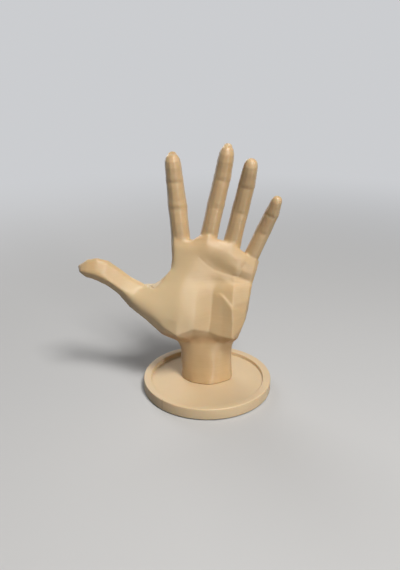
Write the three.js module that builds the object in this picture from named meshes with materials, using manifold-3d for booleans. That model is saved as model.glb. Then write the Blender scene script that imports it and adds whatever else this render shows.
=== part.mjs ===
// Hand jewelry display: an open left hand, palm to the front, standing in a round ring dish.
// Millimetres, +Z up. The origin is the centre of the dish's underside, -Y is the palm side.
// The thumb points to -X. The hand is one faceted print, screwed to the dish from below.
import * as THREE from 'three';
import { mergeVertices } from 'three/addons/utils/BufferGeometryUtils.js';
import Module from 'manifold-3d';

const wasm = await Module();
wasm.setup();

// Dish
const DISH_RADIUS = 60;
const DISH_HEIGHT = 10.3;
const RIM_WIDTH = 7.2;
const RECESS_DEPTH = 3.8;
const EDGE_ROUND = 0.6;
const DISH_SIDES = 120;
const FLOOR = DISH_HEIGHT - RECESS_DEPTH;

// Foot of the hand: a keyed tenon that drops into a socket in the dish floor
const TENON_WIDTH = 34;
const TENON_DEPTH = 20;
const TENON_CORNER = 5;
const TENON_KEY = 3;
const TENON_LENGTH = 3.3;
const TENON_CENTRE_Y = 4;
const TENON_BLEND = 5;
const FIT = 0.3;
const TENON_BOTTOM = FLOOR - TENON_LENGTH + FIT;

// Two countersunk screws and their threaded inserts
const SCREW_SPACING = 22;
const SCREW_DIAMETER = 3;
const SCREW_HEAD_DIAMETER = 5.8;
const SCREW_HEAD_HEIGHT = 1.7;
const SCREW_HEAD_EDGE = 0.3;
const SCREW_LENGTH = 9;
const SCREW_RECESS = 0.4;
const DRIVE_WIDTH = 2;
const DRIVE_DEPTH = 1;
const INSERT_DIAMETER = 4.6;
const INSERT_LENGTH = 5;
const INSERT_HOLE_SPARE = 4;
const THREAD_FIT = 0.15;
const SMALL_SIDES = 24;

// Rubber feet in pockets under the dish
const FOOT_COUNT = 4;
const FOOT_DIAMETER = 12;
const FOOT_THICKNESS = 2;
const FOOT_POCKET = 1;
const FOOT_CIRCLE = 46;

// How far a cutting body runs past the face that it cuts
const OVERRUN = 1;

// Wrist and palm
const WRIST_HEIGHT = 43.5;
const WRIST_WIDTH = 48;
const WRIST_DEPTH = 33;
const PALM_HEIGHT = 100;
const PALM_WIDTH = 76;
const PALM_DEPTH = 40;
const PALM_BOTTOM = FLOOR + WRIST_HEIGHT;
const BACK_ROUNDNESS = 2.5;

// Stations of the wrist and of the palm, from the dish floor to the webs of the fingers, in percent.
// across: nine points from the thumb side, out from the middle of the width.
// up: their heights above the bottom of the palm, or below 0 how far down the wrist.
// front: the depth of the seven inner points on the palm side. back: the greatest depth of the back.
// side: the depth of the two outer points. arch and drop: how the back's heights rise and fall short.
const WRIST = [
  { name: 'foot',
    across: [-50.5, -42.5, -28.5, -12.5, 3.5, 18.5, 34.5, 45.5, 49.5],
    up: [-100, -100, -100, -100, -100, -100, -100, -100, -100],
    front: [-10, -27.5, -35, -39, -33, -20, -8.5], back: 62, side: 10.5, arch: 0 },
  { name: 'waist of the wrist',
    across: [-52, -44, -30, -14, 8.5, 14.5, 33.5, 44.5, 48.5],
    up: [-64, -62, -57.5, -54, -53, -53, -56, -62, -64],
    front: [-11, -27.5, -34, -38, -36, -21, -9], back: 60.5, side: 10.5, arch: 8 },
  { name: 'neck',
    across: [-53, -45, -31, -14.5, 1.5, 16.5, 33, 44, 48],
    up: [-30, -27.5, -24, -22, -20.5, -20.5, -24, -27.5, -30],
    front: [-11.5, -27.5, -33.5, -37, -32, -22, -10.5], back: 59, side: 10.5, arch: 6 },
];
const PALM = [
  { name: 'under the heel',
    across: [-37, -31.5, -21, -10, 0.5, 11, 21.5, 29, 32],
    up: [-10, -6, 2, 5.5, 4.5, 1.5, -2, -8, -12.5],
    front: [-13, -28, -31.5, -30, -31.5, -27, -15], back: 47.5, side: 2.5, arch: 5 },
  { name: 'heel',
    across: [-55.3, -49, -37, -16, 1.5, 17, 29.5, 36, 38],
    up: [3, 17, 12, 18, 12.5, 9, 8, 5.5, 2],
    front: [-47, -53.5, -46, -36, -43, -50, -34], back: 45, side: -2.5, arch: 6 },
  { name: 'lower root of the thumb',
    across: [-73, -64.5, -35.5, -16, 3.5, 17, 29.5, 43, 46],
    up: [16.5, 29, 27, 30, 27, 24, 22, 20.5, 19],
    front: [-44.5, -52, -44, -31.5, -39.5, -48.5, -32], back: 42.5, side: -2.5, arch: 8 },
  { name: 'below the fold of the palm',
    across: [-76, -59, -34, -14.5, 6, 17, 28.5, 45.5, 49],
    up: [34.6, 42, 41, 45, 49, 45.5, 35.5, 33, 30.6],
    front: [-40.5, -48, -40, -27, -35, -46, -29], back: 41, side: -4, arch: 8 },
  { name: 'above the fold of the palm',
    across: [-68.5, -60, -33.5, -13, 7, 18.5, 29, 48, 50.3],
    up: [51.2, 52.2, 53, 54, 52, 48.5, 38.5, 42, 42],
    front: [-32.5, -42, -35.5, -26.5, -31.5, -42.5, -26.5], back: 40, side: -8, arch: 2, drop: 1 },
  { name: 'web of the thumb',
    across: [-56.4, -53.5, -29, -10.5, 7.5, 19, 30.5, 49, 51.2],
    up: [57.6, 59, 63, 64, 62.5, 60, 56, 51.5, 49.5],
    front: [-24, -33, -29.5, -24, -26, -30.5, -21.5], back: 39, side: -14, arch: 9, drop: 2 },
  { name: 'line below the fingers',
    across: [-43.6, -41.2, -19, -8, 5.5, 17, 31, 50.2, 52.5],
    up: [67, 71, 80, 81.5, 72.5, 68.5, 63.5, 56.5, 55.5],
    front: [-18.5, -24.5, -22.5, -17.5, -17.5, -20, -16], back: 37.5, side: -12, arch: 11, drop: 2 },
  { name: 'lower side of the pad',
    across: [-41.2, -38.8, -18.5, -4.5, 8.5, 20, 32, 52, 55],
    up: [78.3, 82, 87, 88, 81.5, 77.5, 72, 65, 62],
    front: [-18.5, -23, -24, -23, -23.5, -24, -17.5], back: 36, side: -9, arch: 13, drop: 5 },
  { name: 'pad below the fingers',
    across: [-42, -39, -17, -2, 11, 23.5, 37.5, 54, 57.5],
    up: [88, 91, 91.5, 94, 89, 85, 79, 71.5, 68],
    front: [-16.5, -20, -22, -22.5, -22.5, -21.5, -15.5], back: 32.5, side: -5, arch: 13, drop: 8 },
  { name: 'edge below the fingers',
    across: [-42.5, -38.5, -17, 0.5, 12, 28, 42.5, 55.5, 60],
    up: [96, 97, 94.5, 100.5, 95.5, 93, 84, 78, 74],
    front: [-13, -14, -16.5, -14, -16.5, -13.5, -11], back: 24, side: 4, drop: 7 },
  { name: 'webs of the fingers',
    across: [-40, -36, -16.5, -8, 11.5, 26.5, 40.5, 52, 58],
    up: [95, 96, 95, 99.5, 95.5, 92.5, 83.8, 78.5, 74],
    front: [-2.5, -2.5, -2.5, -2.5, -2.5, -2.5, -2.5], back: 15, side: 4, drop: 4.5 },
];

// Thumb: its root in percent of the palm, and its stations in percent of its length and width. Each has
// the step from the station before, the heading of that step, the tilt of its ring and its reach each way.
const THUMB_LENGTH = 57.4;
const THUMB_WIDTH = 21;
const THUMB_FORWARD = 5;
const THUMB_ROOT = { across: -84, deep: -7.5, up: 44.2 };
const THUMB = [
  { step: 0, heading: 0, tilt: 34, up: 58, down: 59, front: 57, back: 48 },
  { step: 23, heading: 41.3, tilt: 38, up: 47, down: 46, front: 50, back: 45 },
  { step: 21.4, heading: 39.4, tilt: 36, up: 49, down: 44, front: 48, back: 43 },
  { step: 18.1, heading: 35.2, tilt: 26, up: 53, down: 48, front: 48, back: 40 },
  { step: 14.8, heading: 21.4, tilt: 18, up: 48, down: 45, front: 43, back: 38 },
  { step: 11, heading: 3.6, tilt: 8, up: 39, down: 39, front: 36, back: 33 },
  { step: 8.2, heading: -6, tilt: 0, up: 22, down: 23, front: 24, back: 24 },
  { step: 3.5, heading: -8.5, tilt: 0, up: 9.5, down: 9.5, front: 11.5, back: 12.5 },
];

// Fingers: the place of each root in percent of the palm, then for its three bones the lean to the side
// and the forward curl in degrees and the length in percent of the finger's, and in percent of its width
// how wide it is at the root, the middle joint, the end joint and the pad of the tip.
const FINGER_LENGTHS = { index: 71.2, middle: 78, ring: 79.8, little: 64.4 };
const FINGER_WIDTHS = { index: 16.7, middle: 15.6, ring: 16, little: 13.6 };
const FINGERS = [
  { name: 'index', across: -31.5, up: 99, lean: [-4.5, -5, -4.5], curl: [4, 8, 12],
    bones: [36.5, 32.5, 31], widths: [100, 102, 90, 84] },
  { name: 'middle', across: 2.2, up: 101, lean: [11.4, 11.8, 9], curl: [5, 10, 15],
    bones: [33.5, 32, 34.5], widths: [100, 99, 95, 87] },
  { name: 'ring', across: 28.4, up: 93, lean: [11.6, 10.4, 7.6], curl: [9, 18, 26],
    bones: [38.5, 31, 30.5], widths: [100, 95, 90, 78] },
  { name: 'little', across: 51, up: 80, lean: [20.4, 18.6, 12.5], curl: [12, 22, 30],
    bones: [42.5, 29, 28.5], widths: [104, 101, 93, 73] },
];
const FINGER_SIDES = 10;
const FINGER_SET_BACK = 1.5;
const FINGER_SUNK = 14;
const FINGER_FLATNESS = 0.98;

// Sections along a bone: the share of its length, then shares of its width, front depth and back depth
const BONE_SECTIONS = [
  { at: 0, wide: 1, front: 0.92, back: 1.05 },
  { at: 0.17, wide: 0.98, front: 1, back: 1 },
  { at: 0.5, wide: 0.965, front: 1.04, back: 0.96 },
  { at: 0.83, wide: 0.975, front: 1, back: 1 },
];
const TIP_SECTIONS = [
  { at: 0, wide: 1, front: 0.92, back: 1.05 },
  { at: 0.18, wide: 0.98, front: 1, back: 0.98 },
  { at: 0.58, wide: 1, front: 1.04, back: 0.94 },
  { at: 0.8, wide: 0.91, front: 0.98, back: 0.86 },
  { at: 0.94, wide: 0.7, front: 0.84, back: 0.84 },
  { at: 1, wide: 0.4, front: 0.76, back: 0.86 },
];
const TIP_PAD_PLACE = 0.58;

// The knuckles that rise on the back of the hand, below each finger
const KNUCKLE_DROP = 14;
const KNUCKLE_RISE = 2;
const KNUCKLE_REACH = 12;

// Nails: thin bowed plates on the back of the tips. The overhang is how far they stand past the tip, or
// below 0 how far short of it they end. A finger's nail is sized by the width of its tip, and the thumb's
// lies in percent of its width behind its middle.
const NAIL_WIDTH_SHARE = 0.62;
const NAIL_DEPTH_SHARE = 1.02;
const NAIL_LENGTH = 12;
const NAIL_OVERHANGS = { index: 1, middle: 1.2, ring: -1.6, little: -1.4 };
const NAIL_THICKNESS = 1.2;
const NAIL_BOW_SHARE = 0.18;
const THUMB_NAIL_WIDTH = 9;
const THUMB_NAIL_LENGTH = 14;
const THUMB_NAIL_OVERHANG = 1.2;
const THUMB_NAIL_BEHIND = 27;

const rad = THREE.MathUtils.degToRad;
const percent = (share, whole) => (share / 100) * whole;
const heightAt = (up) => PALM_BOTTOM + percent(up, up < 0 ? WRIST_HEIGHT : PALM_HEIGHT);

// Turns a closed three.js geometry into a solid that can be joined and cut
function solidOf(geometry) {
  const plain = geometry.clone();
  plain.deleteAttribute('normal');
  plain.deleteAttribute('uv');
  const merged = mergeVertices(plain, 1e-4);
  const mesh = new wasm.Mesh({
    numProp: 3,
    vertProperties: new Float32Array(merged.attributes.position.array),
    triVerts: new Uint32Array(merged.index.array),
  });
  return new wasm.Manifold(mesh);
}

// Turns a solid back into a flat-shaded mesh with a name and a finish
function meshOf(name, solid, material) {
  const result = solid.getMesh();
  const geometry = new THREE.BufferGeometry();
  geometry.setAttribute('position', new THREE.BufferAttribute(result.vertProperties, result.numProp));
  geometry.setIndex(new THREE.BufferAttribute(result.triVerts, 1));
  geometry.computeVertexNormals();
  const mesh = new THREE.Mesh(geometry, material);
  mesh.name = name;
  return mesh;
}

// A closed surface that is gathered point by point and face by face
class Cage {
  constructor() {
    this.points = [];
    this.faces = [];
  }

  ring(points) {
    return points.map((point) => this.points.push(point) - 1);
  }

  quad(a, b, c, d) {
    const acrossAC = this.points[a].distanceTo(this.points[c]);
    const acrossBD = this.points[b].distanceTo(this.points[d]);
    if (acrossAC <= acrossBD) this.faces.push([a, b, c], [a, c, d]);
    else this.faces.push([a, b, d], [b, c, d]);
  }

  bridge(lower, upper) {
    lower.forEach((start, i) => {
      const next = (i + 1) % lower.length;
      this.quad(start, lower[next], upper[next], upper[i]);
    });
  }

  // Closes a ring of an even number of points, with strips from one end point to the opposite one
  cap(ring) {
    const last = ring.length - 1;
    const half = ring.length / 2;
    this.faces.push([ring[0], ring[1], ring[last]]);
    for (let i = 1; i < half - 1; i += 1) {
      this.quad(ring[i], ring[i + 1], ring[last - i], ring[last - i + 1]);
    }
    this.faces.push([ring[half - 1], ring[half], ring[half + 1]]);
  }

  geometry() {
    const geometry = new THREE.BufferGeometry();
    const flat = this.points.flatMap((point) => point.toArray());
    geometry.setAttribute('position', new THREE.Float32BufferAttribute(flat, 3));
    geometry.setIndex(this.faces.flat());
    return geometry;
  }
}

// A closed body through a list of rings that run counterclockwise as seen from its end
function loft(rings) {
  const cage = new Cage();
  const indices = rings.map((points) => cage.ring(points));
  indices.slice(1).forEach((upper, i) => cage.bridge(indices[i], upper));
  cage.cap([...indices[0]].reverse());
  cage.cap(indices[indices.length - 1]);
  return cage.geometry();
}

// A body turned about the Z axis, from radius and height pairs that start and end on the axis
function turned(outline, sides = SMALL_SIDES) {
  const geometry = new THREE.LatheGeometry(outline.map(([r, z]) => new THREE.Vector2(r, z)), sides);
  geometry.rotateX(Math.PI / 2);
  return geometry;
}

function cylinder(radius, from, to, sides = SMALL_SIDES) {
  return turned([[0, from], [radius, from], [radius, to], [0, to]], sides);
}

function extruded(shape, from, to, curveSegments = 8) {
  const geometry = new THREE.ExtrudeGeometry(shape, { depth: to - from, bevelEnabled: false, curveSegments });
  geometry.translate(0, 0, from);
  return geometry;
}

// The outline of the tenon, or of its socket when it is grown by a clearance
function tenonOutline(grow = 0) {
  const halfWidth = TENON_WIDTH / 2 + grow;
  const halfDepth = TENON_DEPTH / 2 + grow;
  const corner = TENON_CORNER + grow;
  const key = TENON_KEY + grow;
  const shape = new THREE.Shape();
  shape.moveTo(-halfWidth + corner, -halfDepth);
  shape.lineTo(halfWidth - corner, -halfDepth);
  shape.absarc(halfWidth - corner, -halfDepth + corner, corner, -Math.PI / 2, 0);
  shape.lineTo(halfWidth, halfDepth - corner);
  shape.absarc(halfWidth - corner, halfDepth - corner, corner, 0, Math.PI / 2);
  shape.lineTo(key, halfDepth);
  shape.absarc(0, halfDepth, key, 0, Math.PI);
  shape.lineTo(-halfWidth + corner, halfDepth);
  shape.absarc(-halfWidth + corner, halfDepth - corner, corner, Math.PI / 2, Math.PI);
  shape.lineTo(-halfWidth, -halfDepth + corner);
  shape.absarc(-halfWidth + corner, -halfDepth + corner, corner, Math.PI, Math.PI * 1.5);
  return shape;
}

// How far the knuckles lift the back of the hand at a place
function knuckleRise(x, z) {
  return FINGERS.reduce((sum, { across, up }) => {
    const knuckleX = percent(across, PALM_WIDTH);
    const knuckleZ = heightAt(up) - KNUCKLE_DROP;
    const away = Math.hypot(x - knuckleX, z - knuckleZ) / KNUCKLE_REACH;
    return sum + (away < 1 ? KNUCKLE_RISE * Math.cos((away * Math.PI) / 2) ** 2 : 0);
  }, 0);
}

// One ring of the wrist or palm: the thumb side, the points across the front, the other side, and back
function palmRing({ across, up, front, back, side, arch, drop = 0 }, width, depth) {
  const last = across.length - 1;
  const x = (column) => percent(across[column], width);
  const place = (column, deep) => new THREE.Vector3(x(column), percent(deep, depth), heightAt(up[column]));
  const palmSide = front.map((deep, i) => place(i + 1, deep));
  const backSide = front.map((_, i) => {
    const column = last - 1 - i;
    const share = (across[column] - across[0]) / (across[last] - across[0]);
    const straight = up[0] + (up[last] - up[0]) * share;
    const high = arch === undefined ? up[column] : straight + arch * 4 * share * (1 - share);
    const z = heightAt(high - drop);
    const crown = (1 - Math.abs(2 * share - 1) ** BACK_ROUNDNESS) ** (1 / BACK_ROUNDNESS);
    const y = percent(side + (back - side) * crown, depth);
    return new THREE.Vector3(x(column), y + knuckleRise(x(column), z), z);
  });
  return [place(0, side), ...palmSide, place(last, side), ...backSide];
}

// The places of the thumb's stations, walked from its root
function thumbPlaces() {
  let place = new THREE.Vector3(
    percent(THUMB_ROOT.across, PALM_WIDTH), percent(THUMB_ROOT.deep, PALM_DEPTH), heightAt(THUMB_ROOT.up));
  return THUMB.map(({ step, heading }) => {
    const length = percent(step, THUMB_LENGTH);
    const forward = percent(step, THUMB_FORWARD);
    const rise = Math.sin(rad(heading)) * length;
    const out = Math.cos(rad(heading)) * length;
    place = place.clone().add(new THREE.Vector3(-out, -forward, rise));
    return place;
  });
}

// One ring of the thumb: from its top over the front to the underside, and up the back
function thumbRing(place, { tilt, up, down, front, back }) {
  const corners = [
    [1, up],
    [-front * 0.34, up * 0.86],
    [-front * 0.7, up * 0.34],
    [-front, -down * 0.15],
    [-front * 0.2, -down],
    [back * 0.75, -down * 0.62],
    [back, up * 0.05],
    [back * 0.7, up * 0.7],
  ];
  return corners.map(([deep, high]) => {
    const reach = percent(high, THUMB_WIDTH);
    const y = percent(deep, THUMB_WIDTH);
    return place.clone().add(new THREE.Vector3(reach * Math.sin(rad(tilt)), y, reach * Math.cos(rad(tilt))));
  });
}

// Wrist, palm and thumb in one cage: the thumb grows out of an eight-sided hole in the palm's side
function palmAndThumb() {
  const cage = new Cage();
  const wrist = WRIST.map((station) => cage.ring(palmRing(station, WRIST_WIDTH, WRIST_DEPTH)));
  const palm = PALM.map((station) => cage.ring(palmRing(station, PALM_WIDTH, PALM_DEPTH)));
  const rings = [...wrist, ...palm];
  const last = rings[0].length - 1;
  const holeStart = WRIST.length + PALM.findIndex((station) => station.name === 'lower root of the thumb');
  rings.slice(1).forEach((upper, i) => {
    const lower = rings[i];
    lower.forEach((start, column) => {
      const next = (column + 1) % lower.length;
      const besideThumb = column === 0 || column === last;
      if (besideThumb && (i === holeStart || i === holeStart + 1)) return;
      cage.quad(start, lower[next], upper[next], upper[column]);
    });
  });
  cage.cap([...rings[0]].reverse());
  cage.cap(rings[rings.length - 1]);
  const [low, mid, high] = rings.slice(holeStart, holeStart + 3);
  const hole = [high[0], high[1], mid[1], low[1], low[0], low[last], mid[last], high[last]];
  let previous = [...hole].reverse();
  thumbPlaces().forEach((place, i) => {
    const ring = cage.ring(thumbRing(place, THUMB[i]).reverse());
    cage.bridge(previous, ring);
    previous = ring;
  });
  cage.cap(previous);
  return cage;
}

// The frame of a bone: its direction, the way across it and the way to its front
function boneAxes(lean, curl) {
  const turn = new THREE.Euler(rad(curl), rad(lean), 0, 'YXZ');
  return {
    along: new THREE.Vector3(0, 0, 1).applyEuler(turn),
    across: new THREE.Vector3(1, 0, 0).applyEuler(turn),
    front: new THREE.Vector3(0, -1, 0).applyEuler(turn),
  };
}

// A section across a finger, turned so that one flat side faces the front
function fingerRing(centre, axes, width, front, back) {
  return Array.from({ length: FINGER_SIDES }, (_, k) => {
    const angle = (2 * Math.PI * (k + 0.5)) / FINGER_SIDES;
    const forward = Math.cos(angle);
    const depth = (width / 2) * FINGER_FLATNESS * (forward > 0 ? front : back);
    return centre.clone()
      .addScaledVector(axes.across, (width / 2) * Math.sin(angle))
      .addScaledVector(axes.front, depth * forward);
  });
}

// The rings of a finger from inside the palm to its tip, and the place of the tip
function fingerRings({ name, across, up, lean, curl, bones, widths }) {
  const width = widths.map((share) => percent(share, FINGER_WIDTHS[name]));
  const root = boneAxes(lean[0], curl[0]);
  let joint = new THREE.Vector3(percent(across, PALM_WIDTH), FINGER_SET_BACK, heightAt(up));
  const sunk = joint.clone().addScaledVector(root.along, -FINGER_SUNK);
  const rings = [fingerRing(sunk, root, width[0], 1, 1)];
  bones.forEach((share, i) => {
    const isTip = i === bones.length - 1;
    const axes = boneAxes(lean[i], curl[i]);
    const length = percent(share, FINGER_LENGTHS[name]);
    (isTip ? TIP_SECTIONS : BONE_SECTIONS).forEach(({ at, wide, front, back }) => {
      const centre = joint.clone().addScaledVector(axes.along, length * at);
      const blend = Math.min(1, isTip ? at / TIP_PAD_PLACE : at);
      const local = THREE.MathUtils.lerp(width[i], width[i + 1], blend) * wide;
      rings.push(fingerRing(centre, axes, local, front, back));
    });
    joint = joint.clone().addScaledVector(axes.along, length);
  });
  return { rings, tip: joint };
}

// A nail: five bowed sections from its root to its free end. Lift and thick are in nail thicknesses: how
// far its face rises there, and how deep its body goes. Only the free end is as thin as the nail.
function nail(tip, axes, { width, length, overhang, depth }) {
  const sections = [
    { before: 1, wide: 0.7, lift: -0.5, thick: 3 },
    { before: 0.8, wide: 0.95, lift: 0.3, thick: 3 },
    { before: 0.45, wide: 1, lift: 0, thick: 3 },
    { before: 0.16, wide: 0.84, lift: -1.1, thick: 2 },
    { before: 0, wide: 0.58, lift: -2, thick: 1 },
  ];
  const arc = [-1, -0.5, 0, 0.5, 1];
  return loft(sections.map(({ before, wide, lift, thick }) => {
    const point = (share, sink) => {
      const bow = NAIL_BOW_SHARE * width * share * share;
      return tip.clone()
        .addScaledVector(axes.along, overhang - length * before)
        .addScaledVector(axes.across, (width / 2) * wide * share)
        .addScaledVector(axes.front, -(depth + (lift - sink) * NAIL_THICKNESS - bow));
    };
    const inner = arc.map((share) => point(share, thick));
    const outer = [...arc].reverse().map((share) => point(share, 0));
    return [...inner, ...outer];
  }));
}

function buildFinger(finger) {
  const { rings, tip } = fingerRings(finger);
  const axes = boneAxes(finger.lean[2], finger.curl[2]);
  const padWidth = percent(finger.widths[3], FINGER_WIDTHS[finger.name]);
  const size = {
    width: padWidth * NAIL_WIDTH_SHARE,
    length: NAIL_LENGTH,
    overhang: NAIL_OVERHANGS[finger.name],
    depth: (padWidth / 2) * FINGER_FLATNESS * NAIL_DEPTH_SHARE,
  };
  return solidOf(loft(rings)).add(solidOf(nail(tip, axes, size)));
}

// The thumb's nail lies on its back and shows past its tip
function buildThumbNail() {
  const tip = thumbPlaces().pop();
  const heading = rad(THUMB[THUMB.length - 1].heading);
  const axes = {
    along: new THREE.Vector3(-Math.cos(heading), 0, Math.sin(heading)),
    across: new THREE.Vector3(Math.sin(heading), 0, Math.cos(heading)),
    front: new THREE.Vector3(0, -1, 0),
  };
  const size = {
    width: THUMB_NAIL_WIDTH,
    length: THUMB_NAIL_LENGTH,
    overhang: THUMB_NAIL_OVERHANG,
    depth: percent(THUMB_NAIL_BEHIND, THUMB_WIDTH),
  };
  return solidOf(nail(tip, axes, size));
}

function screwPlaces() {
  return [-SCREW_SPACING / 2, SCREW_SPACING / 2].map((x) => new THREE.Vector3(x, TENON_CENTRE_Y, 0));
}

function buildHand(material) {
  let hand = solidOf(palmAndThumb().geometry());
  FINGERS.forEach((finger) => {
    hand = hand.add(buildFinger(finger));
  });
  hand = hand.add(buildThumbNail());
  const tenon = extruded(tenonOutline(), TENON_BOTTOM, FLOOR + TENON_BLEND);
  tenon.translate(0, TENON_CENTRE_Y, 0);
  hand = hand.add(solidOf(tenon));
  screwPlaces().forEach(({ x, y }) => {
    const boreEnd = TENON_BOTTOM + INSERT_LENGTH + INSERT_HOLE_SPARE;
    const bore = cylinder(INSERT_DIAMETER / 2 + FIT, TENON_BOTTOM - OVERRUN, boreEnd);
    hand = hand.subtract(solidOf(bore.translate(x, y, 0)));
  });
  return meshOf('hand', hand, material);
}

// The outline of a countersunk screw, or of the hole for it when it is grown by a clearance
function screwOutline(bottom, top, grow = 0) {
  const headRadius = SCREW_HEAD_DIAMETER / 2 + grow;
  const shankRadius = SCREW_DIAMETER / 2 + grow;
  return [
    [0, bottom],
    [headRadius, bottom],
    [headRadius, SCREW_RECESS + SCREW_HEAD_EDGE],
    [shankRadius, SCREW_RECESS + SCREW_HEAD_HEIGHT],
    [shankRadius, top],
    [0, top],
  ];
}

function buildDish(material) {
  const inner = DISH_RADIUS - RIM_WIDTH;
  const outline = [
    [0, 0],
    [DISH_RADIUS - EDGE_ROUND, 0],
    [DISH_RADIUS, EDGE_ROUND],
    [DISH_RADIUS, DISH_HEIGHT - EDGE_ROUND],
    [DISH_RADIUS - EDGE_ROUND, DISH_HEIGHT],
    [inner + EDGE_ROUND, DISH_HEIGHT],
    [inner, DISH_HEIGHT - EDGE_ROUND],
    [inner, FLOOR],
    [0, FLOOR],
  ];
  let dish = solidOf(turned(outline, DISH_SIDES));
  const socket = extruded(tenonOutline(FIT), FLOOR - TENON_LENGTH, FLOOR + OVERRUN);
  dish = dish.subtract(solidOf(socket.translate(0, TENON_CENTRE_Y, 0)));
  screwPlaces().forEach(({ x, y }) => {
    const hole = screwOutline(-OVERRUN, FLOOR, FIT);
    dish = dish.subtract(solidOf(turned(hole).translate(x, y, 0)));
  });
  footPlaces().forEach(({ x, y }) => {
    const pocket = cylinder(FOOT_DIAMETER / 2 + FIT, -OVERRUN, FOOT_POCKET);
    dish = dish.subtract(solidOf(pocket.translate(x, y, 0)));
  });
  return meshOf('base_dish', dish, material);
}

function footPlaces() {
  return Array.from({ length: FOOT_COUNT }, (_, i) => {
    const angle = ((i + 0.5) / FOOT_COUNT) * 2 * Math.PI;
    return new THREE.Vector3(FOOT_CIRCLE * Math.cos(angle), FOOT_CIRCLE * Math.sin(angle), 0);
  });
}

function buildFoot(name, place, material) {
  const disc = cylinder(FOOT_DIAMETER / 2, FOOT_POCKET - FOOT_THICKNESS, FOOT_POCKET);
  const mesh = meshOf(name, solidOf(disc), material);
  mesh.position.copy(place);
  return mesh;
}

function buildScrew(name, place, material) {
  const blank = turned(screwOutline(SCREW_RECESS, SCREW_RECESS + SCREW_LENGTH));
  const driveRadius = DRIVE_WIDTH / Math.sqrt(3);
  const drive = cylinder(driveRadius, SCREW_RECESS - OVERRUN, SCREW_RECESS + DRIVE_DEPTH, 6);
  const screw = solidOf(blank).subtract(solidOf(drive));
  const mesh = meshOf(name, screw, material);
  mesh.position.copy(place);
  return mesh;
}

function buildInsert(name, place, material) {
  const top = TENON_BOTTOM + INSERT_LENGTH;
  const body = cylinder(INSERT_DIAMETER / 2, TENON_BOTTOM, top);
  const thread = cylinder(SCREW_DIAMETER / 2 + THREAD_FIT, TENON_BOTTOM - OVERRUN, top + OVERRUN);
  const mesh = meshOf(name, solidOf(body).subtract(solidOf(thread)), material);
  mesh.position.copy(place);
  return mesh;
}

const printed = new THREE.MeshStandardMaterial({ color: 0xd8ba92, roughness: 0.55, metalness: 0 });
printed.flatShading = true;
const steel = new THREE.MeshStandardMaterial({ color: 0xa8aaad, roughness: 0.35, metalness: 1 });
const brass = new THREE.MeshStandardMaterial({ color: 0xc8a456, roughness: 0.35, metalness: 1 });
const rubber = new THREE.MeshStandardMaterial({ color: 0x2b2b2b, roughness: 0.9, metalness: 0 });

const display = new THREE.Group();
display.add(buildDish(printed));
display.add(buildHand(printed));
['thumb_side', 'little_finger_side'].forEach((side, i) => {
  display.add(buildInsert(`insert_${side}`, screwPlaces()[i], brass));
  display.add(buildScrew(`screw_${side}`, screwPlaces()[i], steel));
});
footPlaces().forEach((place, i) => display.add(buildFoot(`foot_pad_${i + 1}`, place, rubber)));

export default display;
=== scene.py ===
# Hand jewelry display: the looks of each piece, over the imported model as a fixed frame. Metres, +Z up.
import bpy
import bmesh
import math
import numpy as np
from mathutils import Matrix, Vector


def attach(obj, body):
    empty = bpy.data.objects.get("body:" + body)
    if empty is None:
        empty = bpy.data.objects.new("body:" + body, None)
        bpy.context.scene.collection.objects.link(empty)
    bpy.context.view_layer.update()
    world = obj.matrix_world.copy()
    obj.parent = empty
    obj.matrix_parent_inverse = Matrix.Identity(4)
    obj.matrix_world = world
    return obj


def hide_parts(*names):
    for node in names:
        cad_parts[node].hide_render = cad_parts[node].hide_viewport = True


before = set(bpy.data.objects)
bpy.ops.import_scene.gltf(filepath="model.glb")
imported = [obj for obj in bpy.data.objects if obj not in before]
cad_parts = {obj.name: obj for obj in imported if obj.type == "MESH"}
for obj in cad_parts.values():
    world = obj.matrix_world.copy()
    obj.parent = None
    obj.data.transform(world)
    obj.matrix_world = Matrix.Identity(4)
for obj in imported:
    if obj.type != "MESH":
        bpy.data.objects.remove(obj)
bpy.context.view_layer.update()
scene = bpy.context.scene

# --- View ---
# The photograph was taken from half a metre in front and a little above the middle finger,
# looking down at the palm.
camera_data = bpy.data.cameras.new("camera")
camera_data.sensor_width = 36
camera_data.lens = 37.895
camera = bpy.data.objects.new("camera", camera_data)
scene.collection.objects.link(camera)
camera.location = (0, -0.50082, 0.29944)
camera.rotation_euler = (math.radians(90 - 21.52), 0, math.radians(0.78))
scene.camera = camera

# --- Dish ---
# A round ring dish, 120 mm across, with a flat rim round a sunk floor. It is printed in one piece,
# flat on the bed, so its layers run round it and the start of each layer leaves a seam in the wall.
DISH_RADIUS = 0.060
DISH_HEIGHT = 0.0103
RIM_WIDTH = 0.0072
RECESS_DEPTH = 0.0038
RIM_ROUNDING = 0.0010
FOOT_ROUNDING = 0.0006
FLOOR_FILLET = 0.0009
DISH_SIDES = 256
SOCKET_SIZE = (0.0346, 0.0206)
SOCKET_CENTRE_Y = 0.004
SOCKET_DEPTH = 0.0033
SOCKET_CORNER = 0.0053
KEY_RADIUS = 0.0033
KEY_INSET = 0.0003
SCREW_PLACES = [(-0.011, 0.004), (0.011, 0.004)]
HEAD_HOLE = (0.0032, 0.0007)
SHANK_HOLE = (0.0018, 0.0021)
FEET_CIRCLE = 0.046
FEET_PLACES = [(FEET_CIRCLE * math.cos(math.radians(a)), FEET_CIRCLE * math.sin(math.radians(a)))
               for a in (45, 135, 225, 315)]
POCKET_RADIUS = 0.0063
POCKET_DEPTH = 0.001
CONE_OVERLAP = 0.0001
CUT_SPARE = 0.001
MERGED_WITHIN = 0.000005
LAYER_HEIGHT = 0.00025
LAYER_DEPTH = 0.00002
LAYER_SHARE = 0.25
TONE_PATCH = 0.022
TONE_CONTRAST = 1.6
GRAIN_PATCH = 0.004
GRAIN_DEPTH = 0.00006
ROUGHNESS_SPREAD = 0.05
SEAM_ANGLE = math.radians(-131.6)
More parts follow.
